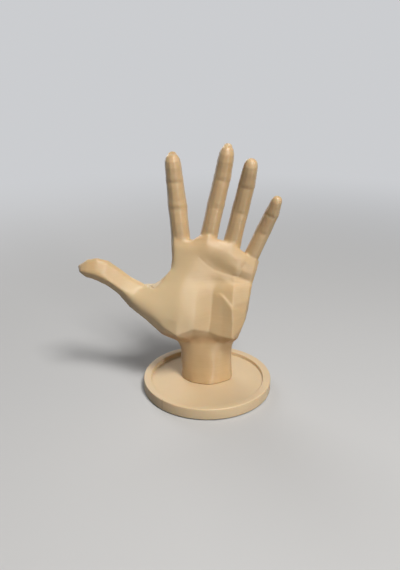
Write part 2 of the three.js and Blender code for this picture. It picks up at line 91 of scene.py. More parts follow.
SEAM_HALF_WIDTH = (0.003, 0.012)
SEAM_DEPTH = 0.00015
SEAM_SHADE = 0.5
SEAM_COLOUR = (0.42, 0.27, 0.14, 1)


def group(name, kind, inputs, outputs):
    """An empty node group with named inputs and outputs."""
    tree = bpy.data.node_groups.new(name, kind)
    for label, socket_type, default in inputs:
        socket = tree.interface.new_socket(name=label, in_out="INPUT", socket_type=socket_type)
        if default is not None:
            socket.default_value = default
    for label, socket_type in outputs:
        tree.interface.new_socket(name=label, in_out="OUTPUT", socket_type=socket_type)
    return tree


def put(tree, kind, values=None, **settings):
    """A node with its settings, and with inputs that are plain values or other nodes' outputs."""
    node = tree.nodes.new(kind)
    for name, value in settings.items():
        setattr(node, name, value)
    for name, value in (values or {}).items():
        for each in value if isinstance(value, list) else [value]:
            if isinstance(each, bpy.types.NodeSocket):
                tree.links.new(each, node.inputs[name])
            else:
                node.inputs[name].default_value = each
    return node


def math_node(tree, operation, *values):
    """The output of a Math node."""
    return put(tree, "ShaderNodeMath", dict(enumerate(values)), operation=operation).outputs[0]


def by_index(tree, kind, values):
    """An output that takes the first value at index 0, the second at index 1, and so on."""
    node = put(tree, "GeometryNodeIndexSwitch", data_type=kind)
    while len(node.index_switch_items) < len(values):
        node.index_switch_items.new()
    tree.links.new(put(tree, "GeometryNodeInputIndex").outputs[0], node.inputs["Index"])
    for number, value in enumerate(values):
        socket = node.inputs[number + 1]
        if isinstance(value, bpy.types.NodeSocket):
            tree.links.new(value, socket)
        else:
            socket.default_value = value
    return node.outputs[0]


def turned_group():
    """Turns a profile about the Z axis: its X is the radius and its Y the height."""
    tree = group("turned body", "GeometryNodeTree",
                 [("Profile", "NodeSocketGeometry", None), ("Sides", "NodeSocketInt", 64)],
                 [("Mesh", "NodeSocketGeometry")])
    given = put(tree, "NodeGroupInput")
    # The profile is swept round a circle, and is first moved in by the circle's radius
    sweep = 0.1
    moved = put(tree, "GeometryNodeTransform",
                {"Geometry": given.outputs["Profile"], "Translation": (-sweep, 0, 0), "Scale": (1, -1, 1)})
    path = put(tree, "GeometryNodeCurvePrimitiveCircle",
               {"Resolution": given.outputs["Sides"], "Radius": sweep})
    swept = put(tree, "GeometryNodeCurveToMesh",
                {"Curve": path.outputs["Curve"], "Profile Curve": moved.outputs[0]})
    closed = put(tree, "GeometryNodeMergeByDistance",
                 {"Geometry": swept.outputs[0], "Distance": MERGED_WITHIN})
    put(tree, "NodeGroupOutput", {"Mesh": closed.outputs[0]})
    return tree


turned_body = turned_group()


def profile(tree, corners, roundings):
    """A profile curve through the corners, each rounded by its own radius."""
    line = put(tree, "GeometryNodeMeshLine", {"Count": len(corners)})
    places = [put(tree, "ShaderNodeCombineXYZ", {"X": x, "Y": y}).outputs[0] for x, y in corners]
    placed = put(tree, "GeometryNodeSetPosition",
                 {"Geometry": line.outputs[0], "Position": by_index(tree, "VECTOR", places)})
    curve = put(tree, "GeometryNodeMeshToCurve", {"Mesh": placed.outputs[0]})
    return put(tree, "GeometryNodeFilletCurve",
               {"Curve": curve.outputs[0], "Count": 5, "Radius": by_index(tree, "FLOAT", roundings),
                "Limit Radius": True}, mode="POLY").outputs[0]


def turned(tree, corners, roundings, sides):
    """A body turned from a profile."""
    return put(tree, "GeometryNodeGroup", {"Profile": profile(tree, corners, roundings), "Sides": sides},
               node_tree=turned_body).outputs[0]


def drill(tree, radius, low, high, x, y, sides=48):
    """A cylinder to cut with, from one height to another."""
    body = put(tree, "GeometryNodeMeshCylinder", {"Vertices": sides, "Radius": radius, "Depth": high - low})
    return put(tree, "GeometryNodeTransform",
               {"Geometry": body.outputs[0], "Translation": (x, y, (low + high) / 2)}).outputs[0]


def carved(tree, body, cutters):
    """A body with each cutter taken out of it."""
    for cutter in cutters:
        body = put(tree, "GeometryNodeMeshBoolean", {"Mesh 1": body, "Mesh 2": cutter},
                   operation="DIFFERENCE", solver="EXACT").outputs[0]
    return body


def put_out(tree, geometry, material):
    """Makes the geometry real, gives it its material and puts it out of the tree."""
    realized = put(tree, "GeometryNodeRealizeInstances", {"Geometry": geometry})
    finished = put(tree, "GeometryNodeSetMaterial", {"Geometry": realized.outputs[0], "Material": material})
    put(tree, "NodeGroupOutput", {"Geometry": finished.outputs[0]})


def grown(name, tree, inputs):
    """The mesh that a node tree grows, as a piece of its own."""
    holder = bpy.data.objects.new(name, bpy.data.meshes.new(name))
    scene.collection.objects.link(holder)
    modifier = holder.modifiers.new("shape", "NODES")
    modifier.node_group = tree
    for item in tree.interface.items_tree:
        if item.in_out == "INPUT" and item.name in inputs:
            modifier[item.identifier] = inputs[item.name]
    depsgraph = bpy.context.evaluated_depsgraph_get()
    mesh = bpy.data.meshes.new_from_object(holder.evaluated_get(depsgraph), depsgraph=depsgraph)
    holder.modifiers.remove(modifier)
    holder.data = mesh
    return holder


def socket_cutter(tree, low):
    """A block with rounded corners that leaves room for the hand's tenon."""
    outline = put(tree, "GeometryNodeCurvePrimitiveQuadrilateral",
                  {"Width": SOCKET_SIZE[0], "Height": SOCKET_SIZE[1]})
    rounded = put(tree, "GeometryNodeFilletCurve",
                  {"Curve": outline.outputs[0], "Count": 6, "Radius": SOCKET_CORNER}, mode="POLY")
    flat = put(tree, "GeometryNodeFillCurve", {"Curve": rounded.outputs[0]}, mode="NGONS")
    raised = put(tree, "GeometryNodeExtrudeMesh",
                 {"Mesh": flat.outputs[0], "Offset": (0.0, 0.0, 1.0), "Offset Scale": 2 * SOCKET_DEPTH})
    base = put(tree, "GeometryNodeFlipFaces", {"Mesh": flat.outputs[0]})
    solid = put(tree, "GeometryNodeJoinGeometry", {"Geometry": [raised.outputs[0], base.outputs[0]]})
    sealed = put(tree, "GeometryNodeMergeByDistance",
                 {"Geometry": solid.outputs[0], "Distance": MERGED_WITHIN})
    return put(tree, "GeometryNodeTransform",
               {"Geometry": sealed.outputs[0], "Translation": (0.0, SOCKET_CENTRE_Y, low)}).outputs[0]


def screw_cutters(tree, x, y):
    """The hole for a screw's head, the hole for its shank and the countersink between them."""
    head_radius, head_top = HEAD_HOLE
    shank_radius, cone_top = SHANK_HOLE
    cone = put(tree, "GeometryNodeMeshCone",
               {"Vertices": 48, "Radius Bottom": head_radius, "Radius Top": shank_radius,
                "Depth": cone_top - head_top + CONE_OVERLAP})
    countersink = put(tree, "GeometryNodeTransform",
                      {"Geometry": cone.outputs[0], "Translation": (x, y, head_top - CONE_OVERLAP)})
    return [drill(tree, head_radius, -CUT_SPARE, head_top, x, y),
            drill(tree, shank_radius, 0, DISH_HEIGHT, x, y), countersink.outputs[0]]


def dish_tree():
    """The dish: a turned body with its socket, screw holes and foot pockets cut out."""
    tree = group("ring dish", "GeometryNodeTree",
                 [("Radius", "NodeSocketFloat", DISH_RADIUS), ("Height", "NodeSocketFloat", DISH_HEIGHT),
                  ("Rim Width", "NodeSocketFloat", RIM_WIDTH), ("Recess Depth", "NodeSocketFloat", RECESS_DEPTH),
                  ("Rim Rounding", "NodeSocketFloat", RIM_ROUNDING),
                  ("Foot Rounding", "NodeSocketFloat", FOOT_ROUNDING),
                  ("Floor Fillet", "NodeSocketFloat", FLOOR_FILLET), ("Sides", "NodeSocketInt", DISH_SIDES),
                  ("Material", "NodeSocketMaterial", None)],
                 [("Geometry", "NodeSocketGeometry")])
    given = put(tree, "NodeGroupInput").outputs
    inner = math_node(tree, "SUBTRACT", given["Radius"], given["Rim Width"])
    floor = math_node(tree, "SUBTRACT", given["Height"], given["Recess Depth"])
    corners = [(0.0, 0.0), (given["Radius"], 0.0), (given["Radius"], given["Height"]),
               (inner, given["Height"]), (inner, floor), (0.0, floor)]
    roundings = [0.0, given["Foot Rounding"], given["Rim Rounding"], given["Rim Rounding"],
                 given["Floor Fillet"], 0.0]
    low = DISH_HEIGHT - RECESS_DEPTH - SOCKET_DEPTH
    key_y = SOCKET_CENTRE_Y + SOCKET_SIZE[1] / 2 - KEY_INSET
    cutters = [socket_cutter(tree, low), drill(tree, KEY_RADIUS, low, low + 2 * SOCKET_DEPTH, 0, key_y)]
    for x, y in SCREW_PLACES:
        cutters += screw_cutters(tree, x, y)
    for x, y in FEET_PLACES:
        cutters.append(drill(tree, POCKET_RADIUS, -CUT_SPARE, POCKET_DEPTH, x, y))
    disc = turned(tree, corners, roundings, given["Sides"])
    put_out(tree, carved(tree, disc, cutters), given["Material"])
    return tree


def print_layers_group():
    """The layers of a print: a rounded ridge for each, and a slight difference of tone between them."""
    tree = group("print layers", "ShaderNodeTree",
                 [("Vector", "NodeSocketVector", None), ("Layer Height", "NodeSocketFloat", LAYER_HEIGHT),
                  ("Waviness", "NodeSocketFloat", 0.0001)],
                 [("Height", "NodeSocketFloat"), ("Tone", "NodeSocketFloat")])
    given = put(tree, "NodeGroupInput").outputs
    wander = put(tree, "ShaderNodeTexNoise", {"Vector": given["Vector"], "Scale": 90.0, "Detail": 1.0})
    offset = math_node(tree, "MULTIPLY", math_node(tree, "SUBTRACT", wander.outputs[0], 0.5), given["Waviness"])
    z = put(tree, "ShaderNodeSeparateXYZ", {"Vector": given["Vector"]}).outputs["Z"]
    layers = math_node(tree, "DIVIDE", math_node(tree, "ADD", z, offset), given["Layer Height"])
    ridge = math_node(tree, "SINE", math_node(tree, "MULTIPLY", math_node(tree, "FRACT", layers), math.pi))
    tone = put(tree, "ShaderNodeTexWhiteNoise", {"W": math_node(tree, "FLOOR", layers)}, noise_dimensions="1D")
    put(tree, "NodeGroupOutput", {"Height": ridge, "Tone": tone.outputs["Value"]})
    return tree


def mottle_group():
    """Soft patches over a surface, from 0 to 1."""
    tree = group("mottle", "ShaderNodeTree",
                 [("Vector", "NodeSocketVector", None), ("Patch Size", "NodeSocketFloat", 0.01),
                  ("Contrast", "NodeSocketFloat", 1.0)],
                 [("Value", "NodeSocketFloat")])
    given = put(tree, "NodeGroupInput").outputs
    scale = math_node(tree, "DIVIDE", 1.0, given["Patch Size"])
    noise = put(tree, "ShaderNodeTexNoise", {"Vector": given["Vector"], "Scale": scale, "Detail": 3.0})
    centred = math_node(tree, "SUBTRACT", noise.outputs[0], 0.5)
    spread = math_node(tree, "MULTIPLY", centred, given["Contrast"])
    value = put(tree, "ShaderNodeClamp", {"Value": math_node(tree, "ADD", spread, 0.5)})
    put(tree, "NodeGroupOutput", {"Value": value.outputs[0]})
    return tree


print_layers = print_layers_group()
mottle = mottle_group()


def new_finish(name):
    """A new node material, with its tree, its shader and the place on the object."""
    material = bpy.data.materials.new(name)
    material.use_nodes = True
    tree = material.node_tree
    return material, tree, tree.nodes["Principled BSDF"], put(tree, "ShaderNodeTexCoord").outputs["Object"]


def mottled(tree, place, patch_size, contrast):
    """The soft patches of the mottle group."""
    return put(tree, "ShaderNodeGroup", {"Vector": place, "Patch Size": patch_size, "Contrast": contrast},
               node_tree=mottle).outputs["Value"]


def mixed(tree, factor, first, second):
    """A colour between two others."""
    return put(tree, "ShaderNodeMix", {"Factor": factor, 6: first, 7: second}, data_type="RGBA").outputs[2]


def ramp(tree, value, low, high, start=0.0, end=1.0, kind="LINEAR"):
    """Runs from start to end while the value runs from low to high."""
    return put(tree, "ShaderNodeMapRange",
               {"Value": value, "From Min": low, "From Max": high, "To Min": start, "To Max": end},
               interpolation_type=kind).outputs[0]


def tint(tree, shader, factor, colour):
    """Lays a colour over the shader's own, as far as the factor says."""
    plain = shader.inputs["Base Color"].links[0].from_socket
    tree.links.new(mixed(tree, factor, plain, colour), shader.inputs["Base Color"])


def printed_plastic(name, light, dark, roughness, streak):
    """Warm satin printed plastic between two tones. Its layers draw highlights out into upright streaks."""
    material, tree, shader, place = new_finish(name)
    layers = put(tree, "ShaderNodeGroup", {"Vector": place, "Layer Height": LAYER_HEIGHT},
                 node_tree=print_layers).outputs
    patches = mottled(tree, place, TONE_PATCH, TONE_CONTRAST)
    tone = math_node(tree, "ADD", math_node(tree, "MULTIPLY", patches, 1 - LAYER_SHARE),
                     math_node(tree, "MULTIPLY", layers["Tone"], LAYER_SHARE))
    tree.links.new(mixed(tree, tone, (*dark, 1), (*light, 1)), shader.inputs["Base Color"])
    grain = mottled(tree, place, GRAIN_PATCH, 1.0)
    rough = ramp(tree, grain, 0.0, 1.0, roughness - ROUGHNESS_SPREAD, roughness + ROUGHNESS_SPREAD)
    tree.links.new(rough, shader.inputs["Roughness"])
    ridges = put(tree, "ShaderNodeBump", {"Strength": 1.0, "Distance": LAYER_DEPTH, "Height": layers["Height"]})
    uneven = put(tree, "ShaderNodeBump",
                 {"Strength": 1.0, "Distance": GRAIN_DEPTH, "Height": grain, "Normal": ridges.outputs[0]})
    tree.links.new(uneven.outputs[0], shader.inputs["Normal"])
    shader.inputs["Subsurface Weight"].default_value = 0.25
    shader.inputs["Subsurface Radius"].default_value = (1.0, 0.42, 0.18)
    shader.inputs["Subsurface Scale"].default_value = 0.004
    shader.inputs["IOR"].default_value = 1.47
    shader.inputs["Anisotropic"].default_value = streak
    upright = put(tree, "ShaderNodeCombineXYZ", {"X": 0.0, "Y": 0.0, "Z": 1.0})
    tree.links.new(upright.outputs[0], shader.inputs["Tangent"])
    return material


def start_seam(material):
    """The upright line in the wall where each layer starts: a shallow, slightly darker groove."""
    tree = material.node_tree
    shader = tree.nodes["Principled BSDF"]
    place = put(tree, "ShaderNodeTexCoord").outputs["Object"]
    x, y, _ = put(tree, "ShaderNodeSeparateXYZ", {"Vector": place}).outputs
    turn = math_node(tree, "ARCTAN2", y, x)
    off = math_node(tree, "ABSOLUTE", math_node(tree, "SUBTRACT", turn, SEAM_ANGLE))
    reach = math_node(tree, "SQRT", math_node(tree, "ADD", math_node(tree, "MULTIPLY", x, x),
                                              math_node(tree, "MULTIPLY", y, y)))
    wall = ramp(tree, reach, DISH_RADIUS - 0.0009, DISH_RADIUS - 0.0003)
    seam = math_node(tree, "MULTIPLY", ramp(tree, off, *SEAM_HALF_WIDTH, 1.0, 0.0), wall)
    tint(tree, shader, math_node(tree, "MULTIPLY", seam, SEAM_SHADE), SEAM_COLOUR)
    level = shader.inputs["Normal"].links[0].from_socket
    groove = put(tree, "ShaderNodeBump",
                 {"Strength": 1.0, "Distance": SEAM_DEPTH, "Height": seam, "Normal": level}, invert=True)
    tree.links.new(groove.outputs[0], shader.inputs["Normal"])


dish_finish = printed_plastic("printed dish", (0.74, 0.575, 0.37), (0.69, 0.525, 0.33), 0.45, 0.0)
start_seam(dish_finish)
dish = grown("dish", dish_tree(), {"Radius": DISH_RADIUS, "Material": dish_finish})
dish.data.shade_smooth()
dish.data.set_sharp_from_angle(angle=math.radians(35))
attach(dish, "root")
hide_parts("base_dish")

# --- Hand ---
# An open left hand with wrist, one print in the same plastic. It was modelled in flat facets, and the
# print has softened their edges, apart from the creases of the palm. A tenon under its wrist drops into
# the dish's socket.
HAND_VOXEL = 0.0008
FOOT_HEIGHT = 0.0065
FOOT_KEPT = 0.0008
FOOT_BLENDED = 0.006
WRIST_CENTRE = (0.0, 0.004)
WRIST_GROWN = 0.0004
WRIST_BLENDED = 0.012
PALM_SPAN = (0.009, 0.145)
PALM_BLENDED = 0.012
EDGE_KEPT = 0.0028
TIP_KEPT = 0.013
TIP_BLENDED = 0.004
# Rounds of softening for the whole hand and for its palm
FINE_ROUNDS = 6
PALM_ROUNDS = 60
# Where the wrist is rounder: from, to, rounds. Where the fingers are: from, blended over, rounds
WRIST_ROUNDED = (0.012, 0.050, 110)
FINGERS_ROUNDED = (0.152, 0.006, 60)
# The fingers start lower towards the little one: this far from the middle, by this slope
FINGERS_START_LOWER = (0.01, 0.45)
FINGERTIPS = [(-0.0295, 0.2205), (0.0160, 0.2270), (0.0360, 0.2155), (0.0600, 0.1835)]
# The surface counts as front where its normal's Y lies below this
FACING = -0.25
# Facet edges of the palm that stay crisp, as places across and up the front of the hand
CRISP_EDGES = [
    [(0.0011, 0.0625), (0.0027, 0.077), (0.0046, 0.099), (0.0053, 0.102), (0.0057, 0.1125), (0.0078, 0.1164)],
    [(-0.0281, 0.062), (-0.0275, 0.070), (-0.0273, 0.074)],
    [(0.0129, 0.096), (0.0217, 0.0865)],
    [(0.0224, 0.058), (0.0224, 0.072), (0.0217, 0.0855), (0.0232, 0.106)],
    [(-0.006, 0.1315), (0.0042, 0.1225), (0.0129, 0.1185), (0.0236, 0.1135), (0.0382, 0.1065)],
    [(-0.0372, 0.067), (-0.0281, 0.062), (-0.0122, 0.068), (0.0011, 0.0625), (0.0129, 0.059), (0.0224, 0.058),
     (0.0274, 0.0555)],
    [(-0.0176, 0.1475), (-0.0137, 0.1446), (-0.0079, 0.1476), (-0.005, 0.1491)],
    [(0.0085, 0.1458), (0.0153, 0.1431), (0.0221, 0.1397)],
]
# Places of the palm that are rounder than the rest: across, up, reach across, reach up, rounds
SOFT_PLACES = [
    (-0.014, 0.120, 0.018, 0.018, 160), (-0.028, 0.096, 0.014, 0.016, 120), (0.008, 0.128, 0.016, 0.008, 40),
    (-0.058, 0.090, 0.015, 0.015, 170), (-0.097, 0.118, 0.013, 0.009, 40), (0.016, 0.141, 0.013, 0.006, 24),
]
# Fleshy places of the palm: across, up, reach across, reach up, how far they swell out
SWELLINGS = [
    (-0.013, 0.079, 0.013, 0.014, 0.0022), (0.010, 0.137, 0.020, 0.008, 0.0009),
    (0.026, 0.130, 0.010, 0.007, 0.0005), (-0.055, 0.089, 0.016, 0.012, 0.0024),
    (0.020, 0.109, 0.018, 0.0048, -0.0020), (-0.004, 0.112, 0.014, 0.008, -0.0012),
]
# Lines pressed into the surface or standing out of it: places, depth (out of the surface above zero), half width
FINE_LINES = [
    ([(-0.0069, 0.1311), (-0.0011, 0.1247), (0.0058, 0.1193), (0.0137, 0.1163), (0.0226, 0.1135),
      (0.0305, 0.1109), (0.0392, 0.106)], -0.0002, 0.0011),
    ([(0.0226, 0.1098), (0.0305, 0.1073), (0.0392, 0.1034)], 0.00025, 0.0009),
    ([(0.0321, 0.1247), (0.0297, 0.1198), (0.0275, 0.1121)], -0.0003, 0.001),
    ([(0.0110, 0.0980), (0.0129, 0.0964), (0.0178, 0.0919), (0.0208, 0.0883)], 0.0003, 0.0010),
]
# The front of each finger's two joints: the skin stands out above the line and folds in at it
FINGER_JOINTS = [
    [(-0.0345, 0.1963), (-0.0269, 0.1965), (-0.0195, 0.1956)],
    [(-0.0340, 0.1730), (-0.0251, 0.1737), (-0.0168, 0.1724)],
    [(0.0036, 0.1983), (0.0109, 0.1982), (0.0192, 0.1965)],
    [(-0.0024, 0.1730), (0.0060, 0.1739), (0.0145, 0.1718)],
    [(0.0250, 0.1940), (0.0313, 0.1927), (0.0383, 0.1912)],
    [(0.0186, 0.1688), (0.0261, 0.1691), (0.0348, 0.1668)],
    [(0.0464, 0.1716), (0.0515, 0.1701), (0.0572, 0.1668)],
    [(0.0396, 0.1535), (0.0444, 0.1519), (0.0501, 0.1495)],
]
# How far above its line a joint bulges, how far out and its half width, then the fold's depth and half width
JOINT_BULGE = (0.0032, 0.00032, 0.0030)
JOINT_FOLD = (-0.00009, 0.0011)
# The palm's worn height, which also bounds the painted light: from, full from, full to, to. It is rougher by
# this, and a paler tone is painted round the thumb's mound as light
PALM_WORN_AND_LIT_SPAN = (0.054, 0.066, 0.132, 0.152)
WORN_ROUGHER = 0.14
MOUND_ACROSS = -0.045
MOUND_REACH = (0.012, 0.05)
MOUND_SHARES = (0.65, 0.08)
PALM_PAINTED_LIGHT = (0.74, 0.58, 0.355, 1)
# Painted shade in the fold under the palm's heel: its height, how far the darker, warmer painted shade reaches
# and how strong it is
FOLD_HEIGHT = 0.0535
FOLD_REACH = 0.0075
FOLD_SHARE = 0.6
FOLD_PAINTED_SHADE = (0.42, 0.22, 0.085, 1)


def away_from(line, points):
    """How far each point lies from a line on the front of the hand, seen from the front."""
    seen = points[:, [0, 2]]
    nearest = np.full(len(points), 1.0)
    for start, end in zip(np.array(line[:-1]), np.array(line[1:])):
        along = end - start
        share = np.clip((seen - start) @ along / (along @ along), 0, 1)
        nearest = np.minimum(nearest, np.linalg.norm(seen - start - share[:, None] * along, axis=1))
    return nearest


def smooth_facets(points, edges, weights, rounds, regrown=0.52):
    """Softens the edges between facets. Each round draws the surface in and lets it grow back."""
    moving = weights > 0.01
    a, b = edges[moving[edges[:, 0]] | moving[edges[:, 1]]].T
    used, joined = np.unique(np.concatenate([a, b]), return_inverse=True)
    a, b = joined[:len(a)], joined[len(a):]
    part, share = points[used], (weights * moving)[used][:, None]
    count = np.maximum(np.bincount(a, minlength=len(used)) + np.bincount(b, minlength=len(used)), 1)[:, None]
    for factor in rounds * ([0.5, -regrown] if regrown else [0.5]):
        total = np.stack([np.bincount(a, part[b, k], len(used)) + np.bincount(b, part[a, k], len(used))
                          for k in range(3)], axis=1)
        part = part + factor * share * (total / count - part)
    points = points.copy()
    points[used] = part
    return points


def follow_wrist(points, before, after):
    """Moves the foot of the wrist out or in as the rounded part just above it moved, angle by angle."""
    x, y = points[:, 0] - WRIST_CENTRE[0], points[:, 1] - WRIST_CENTRE[1]
    angle, radius = np.arctan2(y, x), np.hypot(x, y)
    low = WRIST_ROUNDED[0]
    ring = (points[:, 2] > low) & (points[:, 2] < low + 0.0025)
    outward = np.hypot(*(after[:, :2] - WRIST_CENTRE).T) - np.hypot(*(before[:, :2] - WRIST_CENTRE).T)
    order = np.argsort(angle[ring])
    at, moved, reach = angle[ring][order], outward[ring][order], radius[ring][order]
    steps = np.linspace(-np.pi, np.pi, 181)
    near = np.abs((at[None] - steps[:, None] + np.pi) % (2 * np.pi) - np.pi) < 0.06
    move = np.interp(angle, steps, (near * moved).sum(1) / near.sum(1))
    edge = np.interp(angle, steps, (near * reach).sum(1) / near.sum(1))
    share = np.where(points[:, 2] < low, np.clip((radius / edge - 0.8) / 0.15, 0, 1), 0)
    share = share * (points[:, 2] > FOOT_HEIGHT - 0.0004)
    grow = 1 + share * move / np.maximum(radius, 0.001)
    return np.column_stack([WRIST_CENTRE[0] + x * grow, WRIST_CENTRE[1] + y * grow, points[:, 2]])


def normals_of(mesh, points):
    """The mesh with its points moved, and the direction that each point faces."""
    mesh.vertices.foreach_set("co", points.ravel())
    mesh.update()
    directions = np.zeros(len(points) * 3)
    mesh.vertex_normals.foreach_get("vector", directions)
    return directions.reshape(-1, 3)


def near_line(line, points, half_width):
    """How near each point lies to a line, from 1 on it to 0 far from it."""
    return np.exp(-((away_from(line, points) / half_width) ** 2))


def near_place(points, x, z, across, up):
    """How near each point lies to a place, from 1 at it to 0 far from it."""
    return np.exp(-((points[:, 0] - x) / across) ** 2 - ((points[:, 2] - z) / up) ** 2)


def even_copy():
    """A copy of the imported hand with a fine, even mesh."""
    shell = bmesh.new()
    shell.from_mesh(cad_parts["hand"].data)
    bmesh.ops.remove_doubles(shell, verts=shell.verts, dist=0.000002)
    mesh = bpy.data.meshes.new("hand_print")
    shell.to_mesh(mesh)
    shell.free()
    holder = bpy.data.objects.new("hand_print", mesh)
    scene.collection.objects.link(holder)
    remesh = holder.modifiers.new("even mesh", "REMESH")
    remesh.mode = "VOXEL"
    remesh.voxel_size = HAND_VOXEL
    depsgraph = bpy.context.evaluated_depsgraph_get()
    even = bpy.data.meshes.new_from_object(holder.evaluated_get(depsgraph), depsgraph=depsgraph)
    holder.modifiers.remove(remesh)
    holder.data = even
    return holder


def softened(even, points, edges):
    """The points with their facets' edges softened: all of them a little, and more place by place."""
    weights = np.clip((points[:, 2] - FOOT_HEIGHT - FOOT_KEPT) / FOOT_BLENDED, 0, 1)
    points = smooth_facets(points, edges, weights, FINE_ROUNDS)
    front = normals_of(even, points)[:, 1] < FACING
    low, high = PALM_SPAN
    palm = (np.clip((points[:, 2] - low) / PALM_BLENDED, 0, 1)
            * np.clip((high - points[:, 2]) / PALM_BLENDED, 0, 1))
    nearest = np.min([away_from(line, points) for line in CRISP_EDGES], axis=0)
    crisp = np.where(front, np.exp(-((nearest / EDGE_KEPT) ** 2)), 0)
    points = smooth_facets(points, edges, palm * (1 - crisp), PALM_ROUNDS)
    low, high, rounds = WRIST_ROUNDED
    wrist = np.where(points[:, 2] < low, 0, np.clip((high - points[:, 2]) / WRIST_BLENDED, 0, 1))
    rounded = smooth_facets(points, edges, wrist, rounds, regrown=0)
    rounded = rounded + WRIST_GROWN * wrist[:, None] * normals_of(even, rounded)
    points = np.where(points[:, 2:] < low, follow_wrist(points, points, rounded), rounded)
    low, blended, rounds = FINGERS_ROUNDED
    middle, slope = FINGERS_START_LOWER
    to_tip = np.min([np.hypot(points[:, 0] - x, points[:, 2] - z) for x, z in FINGERTIPS], axis=0)
    low_edge = low - slope * np.maximum(points[:, 0] - middle, 0)
    shafts = (np.clip((points[:, 2] - low_edge) / blended, 0, 1)
              * np.clip((to_tip - TIP_KEPT) / TIP_BLENDED, 0, 1))
    points = smooth_facets(points, edges, shafts, rounds)
    for *place, rounds in SOFT_PLACES:
        share = np.where(front, near_place(points, *place), 0)
        points = smooth_facets(points, edges, share, rounds, regrown=0)
    return points


def detailed(even, points):
    """The points with the palm's swellings and lines, and the joints of the fingers."""
    facing = normals_of(even, points)
    front = facing[:, 1] < FACING
    for *place, depth in SWELLINGS:
        points = points + np.where(front, depth * near_place(points, *place), 0)[:, None] * facing
    for line, depth, half_width in FINE_LINES:
        share = np.where(front, near_line(line, points, half_width), 0)
        points = points + (depth * share)[:, None] * facing
    above, bulge, half_width = JOINT_BULGE
    fold, fold_width = JOINT_FOLD
    move = np.zeros(len(points))
    for line in FINGER_JOINTS:
        raised = [(x + 0.1 * above, z + above) for x, z in line]
        move += bulge * near_line(raised, points, half_width)
        move += fold * near_line(line, points, fold_width)
    return points + (move * np.clip((-facing[:, 1] - 0.1) / 0.5, 0, 1))[:, None] * facing


def soft_hand():
    """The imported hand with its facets' edges softened and the fine shapes of the print added."""
    holder = even_copy()
    even = holder.data
    points = np.zeros(len(even.vertices) * 3)
    even.vertices.foreach_get("co", points)
    edges = np.zeros(len(even.edges) * 2, int)
    even.edges.foreach_get("vertices", edges)
    points = softened(even, points.reshape(-1, 3), edges.reshape(-1, 2))
    normals_of(even, detailed(even, points))
    even.shade_smooth()
    even.materials.clear()
    return holder


def rubbed_palm_with_painted_light_and_shade(material):
    """A palm rubbed dull by rings and bracelets, with a paler tone painted on the thumb's mound as light, and
    painted shade, darker and warmer, in the fold under its heel.
    """
    tree = material.node_tree
    shader = tree.nodes["Principled BSDF"]
    place = put(tree, "ShaderNodeTexCoord").outputs["Object"]
    across, _, height = put(tree, "ShaderNodeSeparateXYZ", {"Vector": place}).outputs
    palm = math_node(tree, "MULTIPLY", ramp(tree, height, *PALM_WORN_AND_LIT_SPAN[:2]),
                     ramp(tree, height, *PALM_WORN_AND_LIT_SPAN[2:], 1.0, 0.0))
    smooth = shader.inputs["Roughness"].links[0].from_socket
    rough = math_node(tree, "ADD", smooth, math_node(tree, "MULTIPLY", palm, WORN_ROUGHER))
    tree.links.new(rough, shader.inputs["Roughness"])
    # Painted light: a paler tone on the thumb's mound, where the light falls brightest
    from_mound = math_node(tree, "ABSOLUTE", math_node(tree, "SUBTRACT", across, MOUND_ACROSS))
    mound = ramp(tree, from_mound, *MOUND_REACH, *MOUND_SHARES, "SMOOTHSTEP")
    tint(tree, shader, math_node(tree, "MULTIPLY", palm, mound), PALM_PAINTED_LIGHT)
    # Painted shade: a darker, warmer tone in the fold under the palm's heel, where the heel's shadow falls
    from_fold = math_node(tree, "ABSOLUTE", math_node(tree, "SUBTRACT", height, FOLD_HEIGHT))
    tint(tree, shader, ramp(tree, from_fold, 0.0, FOLD_REACH, FOLD_SHARE, 0.0, "SMOOTHSTEP"), FOLD_PAINTED_SHADE)


hand = soft_hand()
hand_finish = printed_plastic("printed hand", (0.67, 0.475, 0.258), (0.56, 0.382, 0.198), 0.33, 1.0)
hand_finish.node_tree.nodes["Principled BSDF"].inputs["Specular IOR Level"].default_value = 0.85
rubbed_palm_with_painted_light_and_shade(hand_finish)
hand.data.materials.append(hand_finish)
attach(hand, "root")
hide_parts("hand")

# --- Threaded inserts ---
# Two brass heat-set inserts, melted into the hand's tenon, for the screws to bite in. Each is a short
# sleeve with a groove round its middle. They can't be seen on the finished display.
INSERT_RADIUS = 0.0023
INSERT_BORE = 0.00165
INSERT_SPAN = (0.0035, 0.0085)
INSERT_GROOVE = 0.00025


def copies_tree(name, body, places, inputs):
    """A node tree that sets copies of a body at the given places and gives them one material."""
    tree = group(name, "GeometryNodeTree", inputs + [("Material", "NodeSocketMaterial", None)],
                 [("Geometry", "NodeSocketGeometry")])
    given = put(tree, "NodeGroupInput").outputs
    line = put(tree, "GeometryNodeMeshLine", {"Count": len(places)})
    spots = [put(tree, "ShaderNodeCombineXYZ", {"X": x, "Y": y}).outputs[0] for x, y in places]
    spread = put(tree, "GeometryNodeSetPosition",
                 {"Geometry": line.outputs[0], "Position": by_index(tree, "VECTOR", spots)})
    copies = put(tree, "GeometryNodeInstanceOnPoints",
                 {"Points": spread.outputs[0], "Instance": body(tree, given)})
    put_out(tree, copies.outputs[0], given["Material"])
    return tree


def insert_body(tree, given):
    radius, bore = given["Radius"], given["Bore"]
    low, high = INSERT_SPAN
    middle = (low + high) / 2
    waist = math_node(tree, "SUBTRACT", radius, INSERT_GROOVE)
    corners = [(bore, low), (radius, low), (radius, middle - 0.0006), (waist, middle - 0.0004),
               (waist, middle + 0.0004), (radius, middle + 0.0006), (radius, high), (bore, high), (bore, low)]
    return turned(tree, corners, [0.0, 0.0002, 0.0, 0.0, 0.0, 0.0, 0.0002, 0.0, 0.0], 48)


